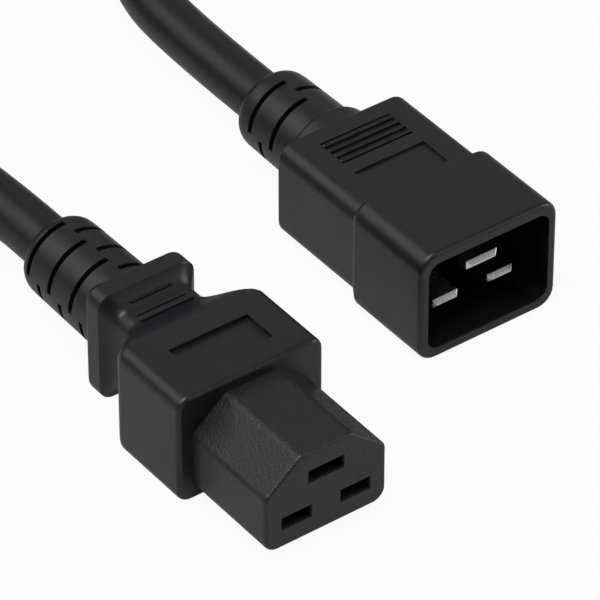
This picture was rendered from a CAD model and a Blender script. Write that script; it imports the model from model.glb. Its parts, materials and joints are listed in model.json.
import bpy, json, math
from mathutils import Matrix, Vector

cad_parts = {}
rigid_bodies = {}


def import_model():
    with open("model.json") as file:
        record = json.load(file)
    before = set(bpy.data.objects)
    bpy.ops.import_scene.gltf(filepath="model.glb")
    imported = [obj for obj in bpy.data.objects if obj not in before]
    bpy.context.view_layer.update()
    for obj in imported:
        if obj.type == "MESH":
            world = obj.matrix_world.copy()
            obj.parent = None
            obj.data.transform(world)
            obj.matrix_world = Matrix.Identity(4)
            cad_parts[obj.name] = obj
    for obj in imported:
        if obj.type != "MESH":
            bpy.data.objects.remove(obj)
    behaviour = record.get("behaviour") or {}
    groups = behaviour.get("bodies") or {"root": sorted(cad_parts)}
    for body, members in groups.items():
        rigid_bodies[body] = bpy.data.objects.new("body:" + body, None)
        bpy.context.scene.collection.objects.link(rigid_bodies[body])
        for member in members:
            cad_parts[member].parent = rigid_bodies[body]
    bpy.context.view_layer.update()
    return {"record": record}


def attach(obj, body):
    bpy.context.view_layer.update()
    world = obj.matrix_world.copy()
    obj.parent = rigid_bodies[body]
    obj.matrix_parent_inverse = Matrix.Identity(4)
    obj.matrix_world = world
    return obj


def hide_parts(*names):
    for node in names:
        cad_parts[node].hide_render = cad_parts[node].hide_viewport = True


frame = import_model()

# Sizes in metres. X runs across the connector, Y from its mating face to its cable, Z up.
connector_place = Vector((0.0, -0.0425, 0.012))
plug_place = Vector((0.059, -0.014, 0.0124))
cable_diameter = 0.0109
coil_centre = Vector((0.028, 0.220, 0.0))
inner_turn = 0.0496
outer_turn = inner_turn + cable_diameter
tie_thickness = 0.0012
overcut = 0.001

# Outlines across each end: width, height and corner radius
body_outline = (0.0324, 0.0240, 0.0028)
waist_outline = (0.0178, 0.0178, 0.0032)
flange_outline = (0.0216, 0.0240, 0.0030)
shroud_outline = (0.0322, 0.0248, 0.0039)
plug_body_outline = (0.0302, 0.0210, 0.0034)
cavity_outline = (0.0283, 0.0200, 0.0026)
liner_outline = (0.0301, 0.0218, 0.0035)
liner_floor_outline = (0.0282, 0.0192, 0.0030)

# Places along the connector, from its mating face
body_front = 0.0225
body_rear = 0.0403
waist_start = 0.0495
waist_end = 0.0520
flange_front = 0.0552
flange_rear = 0.0598
connector_relief_start = 0.0575
connector_relief_end = 0.0850
connector_first_slot = 0.0640
nose_root = 0.0215
insert_end = 0.0330

# Places along the plug, from its rim
liner_recess = 0.0005
cavity_depth = 0.0202
liner_end = 0.0232
plug_body_rear = 0.0462
collar_end = 0.0508
plug_relief_start = 0.0440
plug_relief_end = 0.0695
plug_first_slot = 0.0568
pin_block_end = 0.0360

# The blades, and the connector's slots for them
blade_across = 0.0065
blade_drop = -0.004
earth_rise = 0.004
slot_width, earth_slot_width = 0.0064, 0.0076
blade_width, earth_blade_width = 0.0060, 0.0072
blade_tip, earth_blade_tip = 0.00415, 0.00165
barrel_radius = 0.0021

# Strain reliefs
relief_base, relief_tip, relief_lip = 0.0089, 0.0085, 0.0029
relief_pitch = 0.0035
relief_slot_floor = 0.0063
relief_slot_width = 0.0012
relief_slot_reach = 0.0100

# The liner's outline at its floor, drawn in to stay under the plug's shoulder
liner_rear = [
    (0.0203, *liner_outline),
    (0.0221, *liner_floor_outline),
    (liner_end, *liner_floor_outline),
]

# The cable's route from the connector to the coil, and from the coil to the plug
route_from_connector = [
    (0.0, 0.0425, 0.012),
    (0.0, 0.0693, 0.012),
    (-0.0037, 0.0876, 0.0109),
    (-0.0109, 0.1048, 0.0092),
    (-0.0214, 0.1202, 0.0074),
    (-0.0287, 0.1374, 0.0061),
    (-0.0323, 0.1557, 0.0055),
    (-0.0325, 0.182, 0.00545),
    (-0.0325, 0.201, 0.00545),
]
route_to_plug = [
    (0.0885, 0.201, 0.0163),
    (0.0884, 0.182, 0.0162),
    (0.0883, 0.1638, 0.0162),
    (0.085, 0.1477, 0.0155),
    (0.0784, 0.1327, 0.0143),
    (0.0689, 0.1193, 0.013),
    (0.0624, 0.1043, 0.0124),
    (0.059, 0.0882, 0.0124),
    (0.059, 0.0555, 0.0124),
]


def ease(start, end, share):
    """From one value to another, slow at both ends."""
    share = min(max(share, 0.0), 1.0)
    return start + (end - start) * share * share * (3 - 2 * share)


def coil_points(turns=3.5, points_per_turn=24):
    """Three and a half turns, clockwise from above: out below, in below, in above, out above."""
    points = []
    inward, upward, outward, change = 0.75, 1.65, 2.4, 0.25
    strap_narrowness = 12
    corner_share = 0.75
    count = int(turns * points_per_turn)
    for k in range(count + 1):
        turn = k / points_per_turn
        radius = ease(outer_turn, inner_turn, (turn - inward) / change)
        radius += ease(0, cable_diameter, (turn - outward) / change)
        height = ease(cable_diameter / 2, cable_diameter * 1.5, (turn - upward) / change)
        angle = math.pi * (1 - 2 * turn)
        over_strap = max(math.sin(angle), 0.0) ** strap_narrowness
        reach = radius / math.cos(math.pi / points_per_turn) ** corner_share
        points.append((
            coil_centre.x + reach * math.cos(angle),
            coil_centre.y + reach * math.sin(angle),
            height + tie_thickness * over_strap,
        ))
    return points


def add_cable():
    """The cable as one smooth line from the connector's strain relief to the plug's."""
    curve = bpy.data.curves.new("cable", "CURVE")
    curve.dimensions = "3D"
    curve.bevel_depth = cable_diameter / 2
    curve.bevel_resolution = 8
    curve.resolution_u = 6
    curve.use_fill_caps = True
    points = route_from_connector + coil_points() + route_to_plug
    spline = curve.splines.new("NURBS")
    spline.points.add(len(points) - 1)
    for point, place in zip(spline.points, points):
        point.co = (*place, 1.0)
    spline.order_u = 3
    spline.use_endpoint_u = True
    cable = bpy.data.objects.new("cable", curve)
    bpy.context.scene.collection.objects.link(cable)
    return cable


def add_camera():
    """A long lens from the connector's left and above, a metre away."""
    target = Vector((0.0304, 0.0064, 0.0086))
    azimuth = math.radians(-36.5)
    elevation = math.radians(38.5)
    back = Vector((
        math.sin(azimuth) * math.cos(elevation),
        -math.cos(azimuth) * math.cos(elevation),
        math.sin(elevation),
    ))
    bpy.ops.object.camera_add(location=target + back)
    camera = bpy.context.object
    camera.rotation_euler = (-back).to_track_quat("-Z", "Y").to_euler()
    camera.data.lens = 322
    camera.data.sensor_width = 36
    camera.data.clip_start = 0.05
    camera.data.clip_end = 20
    bpy.context.scene.camera = camera


def let_go():
    """Nothing is selected or edited any more."""
    if bpy.context.object and bpy.context.object.mode == "EDIT":
        bpy.ops.object.mode_set(mode="OBJECT")
    bpy.ops.object.select_all(action="DESELECT")


def take(piece):
    """The piece alone is selected."""
    let_go()
    piece.select_set(True)
    bpy.context.view_layer.objects.active = piece


def edit(piece):
    take(piece)
    bpy.ops.object.mode_set(mode="EDIT")


def choose(piece, test):
    """Selects the piece's edges whose two ends pass a test, and nothing else."""
    bpy.ops.mesh.select_mode(type="EDGE")
    bpy.ops.mesh.select_all(action="DESELECT")
    bpy.ops.object.mode_set(mode="OBJECT")
    mesh = piece.data
    for part in mesh.edges:
        part.select = test([mesh.vertices[i].co for i in part.vertices])
    bpy.ops.object.mode_set(mode="EDIT")


def settle(piece, place=(0, 0, 0)):
    """Leaves the piece's origin at the scene's, with its place in its mesh."""
    take(piece)
    piece.location = place
    bpy.ops.object.transform_apply(location=True, rotation=True, scale=True)


def combine(piece, others, how):
    """Joins the others to the piece or cuts them from it."""
    for other in others:
        take(piece)
        step = piece.modifiers.new(how, "BOOLEAN")
        step.object = other
        step.operation = how
        step.solver = "EXACT"
        bpy.ops.object.modifier_apply(modifier=step.name)
        bpy.data.objects.remove(other)


def bridge(name):
    """Skins the outlines of the edited mesh in turn, closes both ends and names the piece."""
    bpy.ops.mesh.select_all(action="SELECT")
    bpy.ops.mesh.delete(type="ONLY_FACE")
    bpy.ops.mesh.select_all(action="SELECT")
    bpy.ops.mesh.bridge_edge_loops()
    bpy.ops.mesh.select_all(action="DESELECT")
    bpy.ops.mesh.select_mode(type="EDGE")
    bpy.ops.mesh.select_non_manifold()
    bpy.ops.mesh.fill_holes(sides=0)
    bpy.ops.mesh.select_all(action="SELECT")
    bpy.ops.mesh.normals_make_consistent(inside=False)
    bpy.ops.object.mode_set(mode="OBJECT")
    bpy.context.object.name = name
    return bpy.context.object


def loft(name, sections, corner_steps=6):
    """A closed skin over upright rounded rectangles: y, width, height and corner radius."""
    let_go()
    for k, (y, width, height, corner) in enumerate(sections):
        middle = (0, y, 0)
        bpy.ops.mesh.primitive_plane_add(size=1, location=middle, rotation=(math.pi / 2, 0, 0))
        if k == 0:
            bpy.ops.object.transform_apply(location=True, rotation=True, scale=True)
            bpy.ops.object.mode_set(mode="EDIT")
        bpy.ops.transform.resize(value=(width, 1, height), center_override=middle)
        bpy.ops.mesh.bevel(offset=corner, segments=corner_steps, affect="VERTICES")
        bpy.ops.mesh.select_all(action="DESELECT")
    return bridge(name)


def turned(name, outline, sides=96):
    """A closed skin over upright circles: y and radius."""
    let_go()
    for k, (y, radius) in enumerate(outline):
        bpy.ops.mesh.primitive_circle_add(
            vertices=sides, radius=radius, location=(0, y, 0), rotation=(math.pi / 2, 0, 0)
        )
        if k == 0:
            bpy.ops.object.transform_apply(location=True, rotation=True, scale=True)
            bpy.ops.object.mode_set(mode="EDIT")
        bpy.ops.mesh.select_all(action="DESELECT")
    return bridge(name)


def block(low, high, edge=0.0):
    """A box between two corners, its edges eased."""
    let_go()
    low, high = Vector(low), Vector(high)
    bpy.ops.mesh.primitive_cube_add(size=1, location=(low + high) / 2)
    piece = bpy.context.object
    piece.scale = high - low
    bpy.ops.object.transform_apply(location=True, rotation=True, scale=True)
    if edge:
        bpy.ops.object.mode_set(mode="EDIT")
        bpy.ops.mesh.select_all(action="SELECT")
        bpy.ops.mesh.bevel(offset=edge, segments=3, affect="EDGES")
        bpy.ops.object.mode_set(mode="OBJECT")
    return piece


def slab(width, front, rear, bottom, top, edge=0.0):
    """A box that is centred across its end."""
    return block((-width / 2, front, bottom), (width / 2, rear, top), edge)


def round_over(y, outline, edge, towards, steps=5):
    """Sections that ease a prism's end edge, from its side to its end face."""
    width, height, corner = outline
    sections = []
    for k in range(steps + 1):
        turn = math.pi / 2 * k / steps
        inset = edge * (1 - math.cos(turn))
        along = edge * (1 - math.sin(turn)) * towards
        sections.append((y - along, width - 2 * inset, height - 2 * inset, corner - inset))
    return sections


def quarter_ring(y, inner, outer, thickness, quarter):
    """A quarter of a washer round the axis, in the given quarter counted from right and up."""
    let_go()
    middle = ((inner + outer) / 2, y, 0)
    bpy.ops.mesh.primitive_plane_add(size=1, location=middle)
    ring = bpy.context.object
    bpy.ops.object.transform_apply(location=True, rotation=True, scale=True)
    bpy.ops.object.mode_set(mode="EDIT")
    bpy.ops.transform.resize(value=(outer - inner, thickness, 1), center_override=middle)
    bpy.ops.mesh.spin(steps=24, angle=math.pi / 2, center=(0, y, 0), axis=(0, -1, 0))
    bpy.ops.mesh.select_all(action="SELECT")
    bpy.ops.mesh.normals_make_consistent(inside=False)
    bpy.ops.object.mode_set(mode="OBJECT")
    ring.rotation_euler = (0, -quarter * math.pi / 2, 0)
    bpy.ops.object.transform_apply(location=False, rotation=True, scale=False)
    return ring


def rounded_end(end, radius, edge, steps):
    """The outline of a turned piece's rounded end: y and radius."""
    outline = []
    for k in range(steps + 1):
        turn = math.pi / 2 * k / steps
        outline.append((end - edge * (1 - math.sin(turn)), radius - edge * (1 - math.cos(turn))))
    return outline


def strain_relief(start, end, first_slot):
    """A tapered sleeve with a bullet-shaped lip, its rings set clear of the slots' edges."""
    base, tip, lip = relief_base, relief_tip, relief_lip
    lip_steps, least_gap = 8, 0.0002
    step = relief_pitch / 4
    y = first_slot - (math.floor((first_slot - start) / step) - 0.5) * step
    rings = [start]
    while y < end - lip - least_gap:
        rings.append(y)
        y += step
    outline = [(y, base + (tip - base) * (y - start) / (end - start)) for y in rings]
    return turned("relief", outline + rounded_end(end, tip, lip, lip_steps))


def relief_slots(first, count, first_quarter):
    """Two opposite quarter rings at each station, turned a quarter from station to station."""
    slots = []
    for k in range(count):
        y = first + relief_pitch * k
        for quarter in ((0, 2) if (k + first_quarter) % 2 else (1, 3)):
            slots.append(
                quarter_ring(y, relief_slot_floor, relief_slot_reach, relief_slot_width, quarter)
            )
    return slots


def weld(piece):
    """Merges points that the cuts left on top of each other and closes the cracks between them."""
    together = 0.000003
    edit(piece)
    bpy.ops.mesh.select_mode(type="EDGE")
    bpy.ops.mesh.select_all(action="SELECT")
    bpy.ops.mesh.remove_doubles(threshold=together)
    bpy.ops.mesh.select_all(action="SELECT")
    bpy.ops.mesh.dissolve_degenerate(threshold=together)
    bpy.ops.mesh.select_all(action="DESELECT")
    bpy.ops.mesh.select_non_manifold()
    bpy.ops.mesh.fill_holes(sides=0)
    bpy.ops.mesh.select_all(action="SELECT")
    bpy.ops.mesh.normals_make_consistent(inside=False)
    bpy.ops.object.mode_set(mode="OBJECT")


def soften(piece, width, angle=40, slots=()):
    """A small round on every crisp edge, then sharp slots, and shading that keeps faces flat."""
    take(piece)
    step = piece.modifiers.new("edges", "BEVEL")
    step.width = width
    step.segments = 2
    step.limit_method = "ANGLE"
    step.angle_limit = math.radians(angle)
    bpy.ops.object.modifier_apply(modifier=step.name)
    combine(piece, slots, "DIFFERENCE")
    weld(piece)
    bpy.ops.object.shade_smooth_by_angle(angle=math.radians(35))
    step = piece.modifiers.new("flat faces", "WEIGHTED_NORMAL")
    step.keep_sharp = True
    bpy.ops.object.modifier_apply(modifier=step.name)


def between(first, second, share):
    """Each value of two outlines, a share of the way from the first to the second."""
    return [a + (b - a) * share for a, b in zip(first, second)]


def waist_sections(steps=16):
    """The finger waist: eased in from the body, straight, then swept out to the flange."""
    sections = []
    for k in range(1, steps + 1):
        y = body_rear + (waist_start - body_rear) * k / steps
        share = (1 - math.cos(math.pi * k / steps)) / 2
        sections.append((y, *between(body_outline, waist_outline, share)))
    for k in range(steps + 1):
        y = waist_end + (flange_front - waist_end) * k / steps
        across, up, _ = between(waist_outline, flange_outline, (k / steps) ** 2)
        turn = (1 - math.cos(math.pi * k / steps)) / 2
        corner = between(waist_outline, flange_outline, turn)[2]
        sections.append((y, across, up, corner))
    return sections


def waist_ribs():
    """Three small ribs above and three below, narrower and further out towards the flange."""
    ribs = []
    thickness, root, proud, edge = 0.0006, 0.002, 0.00035, 0.00015
    for y, across, height in (
        (0.0486, 0.0120, 0.0092),
        (0.0506, 0.0110, 0.0089),
        (0.0536, 0.0094, 0.0096),
    ):
        for side in (-1, 1):
            low, high = sorted((side * (height - root), side * (height + proud)))
            ribs.append(slab(across, y - thickness / 2, y + thickness / 2, low, high, edge))
    return ribs


def make_connector_shell():
    """Body, waist, flange and strain relief in one moulding."""
    sections = round_over(body_front, body_outline, 0.0010, -1)[::-1]
    sections.append((body_rear, *body_outline))
    sections += waist_sections()
    sections += round_over(flange_rear, flange_outline, 0.0014, 1)
    shell = loft("connector_shell", sections)
    ribs = waist_ribs()
    relief = strain_relief(connector_relief_start, connector_relief_end, connector_first_slot)
    combine(shell, ribs + [relief], "UNION")
    label = slab(0.0176, 0.0278, 0.0358, 0.0111, 0.0130)
    pocket = nose_blank(nose_root, insert_end, 0.0020)
    combine(shell, [label, pocket], "DIFFERENCE")
    soften(shell, 0.00012, slots=relief_slots(connector_first_slot, 6, 0))
    settle(shell, connector_place)
    return shell


def nose_blank(start, end, inset=0.0):
    """A bar with the nose's outline: chamfered top corners and rounded bottom ones."""
    half, top, chamfer_drop, corner = 0.0134 - inset, 0.0095 - inset, 0.0064, 0.0028
    blank = slab(2 * half, start, end, -top, top)
    edit(blank)
    for side in (-1, 1):
        bpy.ops.mesh.select_all(action="SELECT")
        bpy.ops.mesh.bisect(
            plane_co=(side * half, 0, top - chamfer_drop + inset / 2),
            plane_no=Vector((side * 0.64, 0, 0.77)).normalized(),
            threshold=0.000001,
            use_fill=True,
            clear_outer=True,
        )
    choose(blank, lambda ends: abs(ends[0].y - ends[1].y) > 0.005 and ends[0].z < 0.001 - top)
    bpy.ops.mesh.bevel(offset=corner, segments=8, affect="EDGES")
    bpy.ops.object.mode_set(mode="OBJECT")
    return blank


def nose_slots():
    """For each blade a slot, a slight ease at its mouth, and the room behind for the contact."""
    slots = []
    slot_half, room_half = 0.00125, 0.00176
    slot_depth, ease_depth, ease_width = 0.0271, 0.00018, 0.0002
    room_front, room_end, room_side = 0.0036, 0.0200, 0.001
    for x, z, width in (
        (-blade_across, blade_drop, slot_width),
        (blade_across, blade_drop, slot_width),
        (0, earth_rise, earth_slot_width),
    ):
        for reach, more in ((slot_depth, 0.0), (ease_depth, ease_width)):
            side, up = width / 2 + more, slot_half + more
            slots.append(block((x - side, -overcut, z - up), (x + side, reach, z + up)))
        side = width / 2 + room_side
        slots.append(
            block((x - side, room_front, z - room_half), (x + side, room_end, z + room_half))
        )
    return slots


def make_nose():
    """The nose and its root in the overmould, with three slots and the rooms behind them."""
    nose = nose_blank(0, body_front)
    edit(nose)
    choose(nose, lambda ends: abs(ends[0].y - ends[1].y) > 0.02 and ends[0].z > 0.002)
    bpy.ops.mesh.bevel(offset=0.0008, segments=4, affect="EDGES")
    choose(nose, lambda ends: all(end.y < 0.0001 for end in ends))
    bpy.ops.mesh.bevel(offset=0.0007, segments=4, affect="EDGES")
    bpy.ops.object.mode_set(mode="OBJECT")
    combine(nose, [nose_blank(nose_root, insert_end, 0.0022)], "UNION")
    combine(nose, nose_slots(), "DIFFERENCE")
    nose.name = "connector_nose"
    soften(nose, 0.00008)
    settle(nose, connector_place)
    return nose


def pin_block(start):
    """The block that holds the blades, behind the liner's floor."""
    return slab(0.024, start, pin_block_end, -0.0078, 0.0078)


def grip_ridges(front, pitch, count=4):
    """Raised ridges across the grip's recess."""
    ridges = []
    width, thickness, root, top, edge = 0.0166, 0.0009, 0.0093, 0.0108, 0.00043
    for k in range(count):
        y = front + (k + 0.5) * pitch
        ridges.append(slab(width, y - thickness / 2, y + thickness / 2, root, top, edge))
    return ridges


def make_plug_shell():
    """Shroud, shoulder, gripped body, collar and strain relief in one moulding."""
    sections = round_over(0, shroud_outline, 0.0010, -1)[::-1]
    sections += [
        (0.0200, *shroud_outline),
        (0.0204, 0.03212, 0.02465, 0.0039),
        (0.0207, 0.0318, 0.0241, 0.0038),
        (0.0222, *plug_body_outline),
    ]
    sections += round_over(plug_body_rear, plug_body_outline, 0.0010, 1)
    shell = loft("plug_shell", sections)
    collar_radius, collar_edge = 0.0101, 0.0014
    outline = [(plug_relief_start, collar_radius)]
    outline += rounded_end(collar_end, collar_radius, collar_edge, 6)
    relief = strain_relief(plug_relief_start, plug_relief_end, plug_first_slot)
    combine(shell, [turned("collar", outline), relief], "UNION")
    grip_front, ridge_pitch = 0.0342, 0.0019
    grip = slab(0.0164, grip_front, 0.0418, 0.0100, 0.0115)
    label = slab(0.0164, 0.0233, 0.0309, 0.0100, 0.0115)
    combine(shell, [grip, label], "DIFFERENCE")
    combine(shell, grip_ridges(grip_front, ridge_pitch), "UNION")
    hollow = loft("hollow", [(-overcut, *cavity_outline), (cavity_depth, *cavity_outline)])
    liner = loft("liner", [(liner_recess, *liner_outline)] + liner_rear)
    combine(shell, [hollow, liner, pin_block(0.0220)], "DIFFERENCE")
    soften(shell, 0.00012, slots=relief_slots(plug_first_slot, 3, 1))
    settle(shell, plug_place)
    return shell


def make_liner():
    """The shroud's liner with its floor and the block that holds the blades."""
    outside = round_over(liner_recess, liner_outline, 0.0003, -1, 3)[::-1]
    liner = loft("plug_liner", outside + liner_rear)
    combine(liner, [pin_block(0.0225)], "UNION")
    mouth = [(-overcut, *cavity_outline), (0.0194, *cavity_outline)]
    mouth += round_over(cavity_depth, cavity_outline, 0.0006, 1, 3)[1:]
    combine(liner, [loft("mouth", mouth)], "DIFFERENCE")
    soften(liner, 0.00008)
    settle(liner, plug_place)
    return liner


def make_blade(name, x, z, width, tip):
    """A flat blade with a chamfered tip and its crimp barrel."""
    blade = slab(width, tip, 0.0275, -0.001, 0.001)
    edit(blade)
    choose(blade, lambda ends: all(end.y < tip + 0.0001 for end in ends))
    bpy.ops.mesh.bevel(offset=0.0008, segments=1, affect="EDGES")
    bpy.ops.object.mode_set(mode="OBJECT")
    barrel = turned("barrel", [(0.0270, barrel_radius), (0.0340, barrel_radius)], 32)
    combine(blade, [barrel], "UNION")
    blade.name = name
    soften(blade, 0.00015)
    settle(blade, plug_place + Vector((x, 0, z)))
    return blade


def make_tie():
    """A woven strap round the turns, its end laid back over itself."""
    middle = Vector((coil_centre.x, coil_centre.y + inner_turn + cable_diameter / 2, 0.0121))
    walls = []
    for name, reach, outline in (
        ("coil_tie", 0.0070, (0.0254, 0.0242, 0.0057)),
        ("bundle", 0.0100, (0.0230, 0.0218, 0.0045)),
    ):
        walls.append(loft(name, [(-reach, *outline), (reach, *outline)], 8))
    tie, bundle = walls
    combine(tie, [bundle], "DIFFERENCE")
    lap = slab(0.0132, -0.0090, 0.0075, 0.0119, 0.0127, 0.0003)
    tie.rotation_euler = (0, 0, math.pi / 2)
    settle(tie)
    combine(tie, [lap], "UNION")
    soften(tie, 0.0003, 60)
    settle(tie, middle)
    return tie


def new_group(name, inputs, outputs):
    """An empty shader group with its sockets, and its two ends."""
    group = bpy.data.node_groups.new(name, "ShaderNodeTree")
    for label, kind, value in inputs:
        socket = group.interface.new_socket(name=label, in_out="INPUT", socket_type=kind)
        socket.default_value = value
    for label, kind in outputs:
        group.interface.new_socket(name=label, in_out="OUTPUT", socket_type=kind)
    return group, group.nodes.new("NodeGroupInput"), group.nodes.new("NodeGroupOutput")


def moulded_grain():
    """Fine grain over broad unevenness: a height, a roughness and a shade for any moulded skin."""
    number = "NodeSocketFloat"
    group, given, made = new_group(
        "moulded_grain",
        [
            ("Grain scale", number, 3000.0),
            ("Patch scale", number, 90.0),
            ("Roughness", number, 0.4),
            ("Spread", number, 0.1),
            ("Dark", "NodeSocketColor", (0.01, 0.01, 0.01, 1)),
            ("Light", "NodeSocketColor", (0.02, 0.02, 0.02, 1)),
        ],
        [("Height", number), ("Roughness", number), ("Colour", "NodeSocketColor")],
    )
    nodes, links = group.nodes, group.links
    place = nodes.new("ShaderNodeTexCoord")
    grain = nodes.new("ShaderNodeTexNoise")
    grain.inputs["Detail"].default_value = 3
    grain.inputs["Roughness"].default_value = 0.6
    patches = nodes.new("ShaderNodeTexNoise")
    patches.inputs["Detail"].default_value = 4
    links.new(place.outputs["Object"], grain.inputs["Vector"])
    links.new(place.outputs["Object"], patches.inputs["Vector"])
    links.new(given.outputs["Grain scale"], grain.inputs["Scale"])
    links.new(given.outputs["Patch scale"], patches.inputs["Scale"])
    both = nodes.new("ShaderNodeMath")
    both.operation = "MULTIPLY_ADD"
    both.inputs[1].default_value = 0.4
    links.new(grain.outputs["Fac"], both.inputs[0])
    links.new(patches.outputs["Fac"], both.inputs[2])
    centred = nodes.new("ShaderNodeMath")
    centred.operation = "SUBTRACT"
    centred.inputs[1].default_value = 0.7
    links.new(both.outputs[0], centred.inputs[0])
    rough = nodes.new("ShaderNodeMath")
    rough.operation = "MULTIPLY_ADD"
    links.new(centred.outputs[0], rough.inputs[0])
    links.new(given.outputs["Spread"], rough.inputs[1])
    links.new(given.outputs["Roughness"], rough.inputs[2])
    shade = nodes.new("ShaderNodeMix")
    shade.data_type = "RGBA"
    links.new(patches.outputs["Fac"], shade.inputs["Factor"])
    links.new(given.outputs["Dark"], shade.inputs["A"])
    links.new(given.outputs["Light"], shade.inputs["B"])
    links.new(grain.outputs["Fac"], made.inputs["Height"])
    links.new(rough.outputs[0], made.inputs["Roughness"])
    links.new(shade.outputs["Result"], made.inputs["Colour"])
    return group


def moulded(name, grain, shades, roughness, spread, scale, depth, metallic=0.0, specular=0.5):
    """A material with the moulded grain, its own shades, gloss and grain size."""
    material = bpy.data.materials.new(name)
    material.use_nodes = True
    nodes, links = material.node_tree.nodes, material.node_tree.links
    shader = nodes["Principled BSDF"]
    shader.inputs["Metallic"].default_value = metallic
    shader.inputs["Specular IOR Level"].default_value = specular
    skin = nodes.new("ShaderNodeGroup")
    skin.node_tree = grain
    skin.inputs["Grain scale"].default_value = scale
    skin.inputs["Roughness"].default_value = roughness
    skin.inputs["Spread"].default_value = spread
    for label, shade in zip(("Dark", "Light"), shades):
        skin.inputs[label].default_value = (*shade, 1)
    bump = nodes.new("ShaderNodeBump")
    bump.inputs["Strength"].default_value = 0.5
    bump.inputs["Distance"].default_value = depth
    links.new(skin.outputs["Height"], bump.inputs["Height"])
    links.new(bump.outputs["Normal"], shader.inputs["Normal"])
    links.new(skin.outputs["Roughness"], shader.inputs["Roughness"])
    links.new(skin.outputs["Colour"], shader.inputs["Base Color"])
    return material


def woven():
    """The strap's weave: two crossed waves of threads."""
    material = bpy.data.materials.new("strap_weave")
    material.use_nodes = True
    nodes, links = material.node_tree.nodes, material.node_tree.links
    shader = nodes["Principled BSDF"]
    shader.inputs["Roughness"].default_value = 0.85
    place = nodes.new("ShaderNodeTexCoord")
    threads = []
    for direction in ("X", "DIAGONAL"):
        wave = nodes.new("ShaderNodeTexWave")
        wave.bands_direction = direction
        wave.inputs["Scale"].default_value = 400 if direction == "X" else 260
        wave.inputs["Distortion"].default_value = 0.4
        links.new(place.outputs["Object"], wave.inputs["Vector"])
        threads.append(wave)
    crossed = nodes.new("ShaderNodeMath")
    crossed.operation = "MULTIPLY"
    links.new(threads[0].outputs["Fac"], crossed.inputs[0])
    links.new(threads[1].outputs["Fac"], crossed.inputs[1])
    shade = nodes.new("ShaderNodeMix")
    shade.data_type = "RGBA"
    shade.inputs["A"].default_value = (0.008, 0.008, 0.009, 1)
    shade.inputs["B"].default_value = (0.035, 0.035, 0.038, 1)
    links.new(crossed.outputs[0], shade.inputs["Factor"])
    links.new(shade.outputs["Result"], shader.inputs["Base Color"])
    bump = nodes.new("ShaderNodeBump")
    bump.inputs["Distance"].default_value = 0.0002
    links.new(crossed.outputs[0], bump.inputs["Height"])
    links.new(bump.outputs["Normal"], shader.inputs["Normal"])
    return material


def add_floor():
    """A plain white floor that goes on out of sight and keeps a faint shadow."""
    let_go()
    bpy.ops.mesh.primitive_plane_add(size=12, location=(0, 0, -0.00005))
    floor = bpy.context.object
    floor.name = "floor"
    material = bpy.data.materials.new("white_floor")
    material.use_nodes = True
    nodes, links = material.node_tree.nodes, material.node_tree.links
    shader = nodes["Principled BSDF"]
    shader.inputs["Base Color"].default_value = (0.5, 0.5, 0.5, 1)
    shader.inputs["Roughness"].default_value = 0.9
    shader.inputs["Specular IOR Level"].default_value = 0.1
    glow = nodes.new("ShaderNodeEmission")
    rays = nodes.new("ShaderNodeLightPath")
    seen = nodes.new("ShaderNodeMixShader")
    share = None
    for kind, part in (
        ("Is Camera Ray", 0.94),
        ("Is Glossy Ray", 0.15),
        ("Is Transmission Ray", 0.15),
    ):
        step = nodes.new("ShaderNodeMath")
        step.operation = "MULTIPLY_ADD"
        step.inputs[1].default_value = part
        step.inputs[2].default_value = 0.0
        links.new(rays.outputs[kind], step.inputs[0])
        if share:
            links.new(share.outputs[0], step.inputs[2])
        share = step
    links.new(share.outputs[0], seen.inputs["Fac"])
    links.new(shader.outputs[0], seen.inputs[1])
    links.new(glow.outputs[0], seen.inputs[2])
    links.new(seen.outputs[0], nodes["Material Output"].inputs["Surface"])
    floor.data.materials.append(material)


def add_lamp(name, place, size, power):
    """A soft box that faces the connectors."""
    place, target = Vector(place), Vector((0.03, 0, 0.01))
    bpy.ops.object.light_add(type="AREA", location=place)
    lamp = bpy.context.object
    lamp.name = name
    lamp.data.shape = "RECTANGLE"
    lamp.data.size, lamp.data.size_y = size
    lamp.data.energy = power
    lamp.rotation_euler = (target - place).to_track_quat("-Z", "Y").to_euler()


def add_light():
    """A key lamp overhead, a soft box behind on each side, one low in front, and a dim sky."""
    let_go()
    add_lamp("lamp_key", (-0.45, -0.15, 1.45), (0.9, 0.9), 20)
    add_lamp("lamp_left", (-0.67, 0.94, 0.95), (1.2, 0.9), 5.5)
    add_lamp("lamp_right", (0.85, 0.85, 0.85), (1.2, 1.0), 1.2)
    add_lamp("lamp_front", (1.3, -0.75, 0.5), (0.8, 0.5), 8)
    world = bpy.data.worlds.new("sky")
    bpy.context.scene.world = world
    world.use_nodes = True
    sky = world.node_tree.nodes["Background"]
    sky.inputs["Color"].default_value = (1, 1, 1, 1)
    sky.inputs["Strength"].default_value = 0.12


bpy.context.scene.view_settings.view_transform = "Standard"
add_camera()
add_floor()
add_light()
cable = add_cable()

# Dark and light shades of each stuff
rubber = ((0.0034, 0.003, 0.0062), (0.005, 0.0045, 0.0078))
hard_plastic = ((0.0056, 0.0052, 0.0085), (0.0076, 0.0072, 0.0105))
dull_plastic = ((0.002, 0.002, 0.0022), (0.003, 0.003, 0.0033))
nickel = ((0.66, 0.63, 0.59), (0.78, 0.75, 0.71))
brass = ((0.62, 0.45, 0.20), (0.80, 0.62, 0.32))
copper = ((0.66, 0.30, 0.17), (0.80, 0.42, 0.26))
black_sleeve = ((0.020, 0.020, 0.020), (0.030, 0.030, 0.030))
white_sleeve = ((0.76, 0.76, 0.74), (0.84, 0.84, 0.82))
green_sleeve = ((0.04, 0.28, 0.07), (0.06, 0.34, 0.10))

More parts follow.
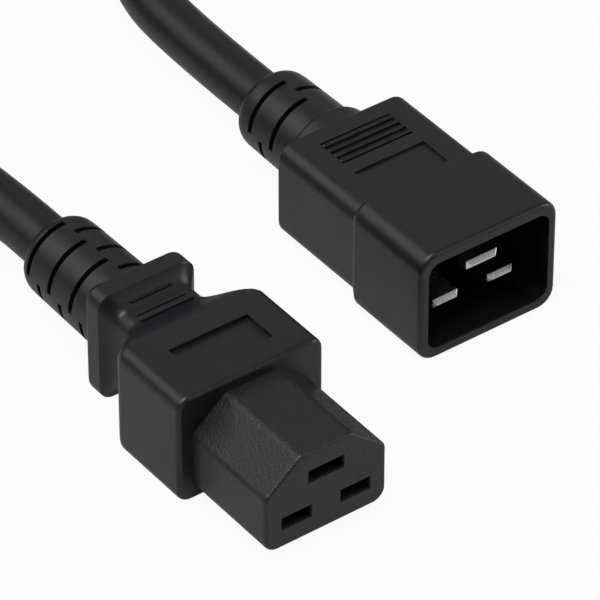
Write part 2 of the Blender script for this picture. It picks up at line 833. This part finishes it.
# Each slot's material: name, shades, roughness and its spread, grains per metre, grain depth,
# and where they differ from a plain plastic's, metallic and specular
stuffs = {
    "overmould": ("satin_moulding", rubber, 0.42, 0.12, 3200, 0.00002),
    "insert": ("matt_moulding", hard_plastic, 0.42, 0.12, 2200, 0.00035),
    "liner": ("liner_moulding", dull_plastic, 0.60, 0.10, 2000, 0.00003, 0.0, 0.15),
    "jacket": ("cable_jacket", rubber, 0.42, 0.10, 2600, 0.00002, 0.0, 0.42),
    "nickel": ("nickel_plate", nickel, 0.28, 0.10, 1500, 0.00001, 1.0),
    "contact_metal": ("contact_brass", brass, 0.32, 0.10, 1500, 0.00001, 1.0),
    "copper": ("bare_copper", copper, 0.30, 0.10, 1500, 0.00003, 1.0),
    "core_line": ("black_core", black_sleeve, 0.40, 0.08, 1800, 0.00002),
    "core_neutral": ("white_core", white_sleeve, 0.40, 0.08, 1800, 0.00002),
    "core_earth": ("green_core", green_sleeve, 0.40, 0.08, 1800, 0.00002),
}
grain = moulded_grain()
coats = {}
for slot, (name, *look) in stuffs.items():
    coats[slot] = moulded(name, grain, *look)
coats["tie"] = woven()

line_blade = (-blade_across, blade_drop, blade_width, blade_tip)
neutral_blade = (blade_across, blade_drop, blade_width, blade_tip)
earth_blade = (0, earth_rise, earth_blade_width, earth_blade_tip)
dressed = {
    make_connector_shell(): ("overmould", "connector_overmould"),
    make_nose(): ("insert", "connector_insert"),
    make_plug_shell(): ("overmould", "plug_overmould"),
    make_liner(): ("insert", "plug_insert"),
    make_blade("plug_pin_line", *line_blade): ("nickel", "plug_blade_line"),
    make_blade("plug_pin_neutral", *neutral_blade): ("nickel", "plug_blade_neutral"),
    make_blade("plug_pin_earth", *earth_blade): ("nickel", "plug_blade_earth"),
    make_tie(): ("tie", "cable_coil_tie"),
}
for piece, (slot, node) in dressed.items():
    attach(piece, "root")
    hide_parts(node)
    piece.data.materials.clear()
    piece.data.materials.append(coats["liner" if node == "plug_insert" else slot])
for part in frame["record"]["subparts"]:
    node = bpy.data.objects[part["node"]]
    for place in node.material_slots:
        place.material = coats[part["material_slot"]]
cable.data.materials.append(coats["jacket"])

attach(cable, "root")
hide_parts("cable_run_connector", "cable_coil", "cable_run_plug")
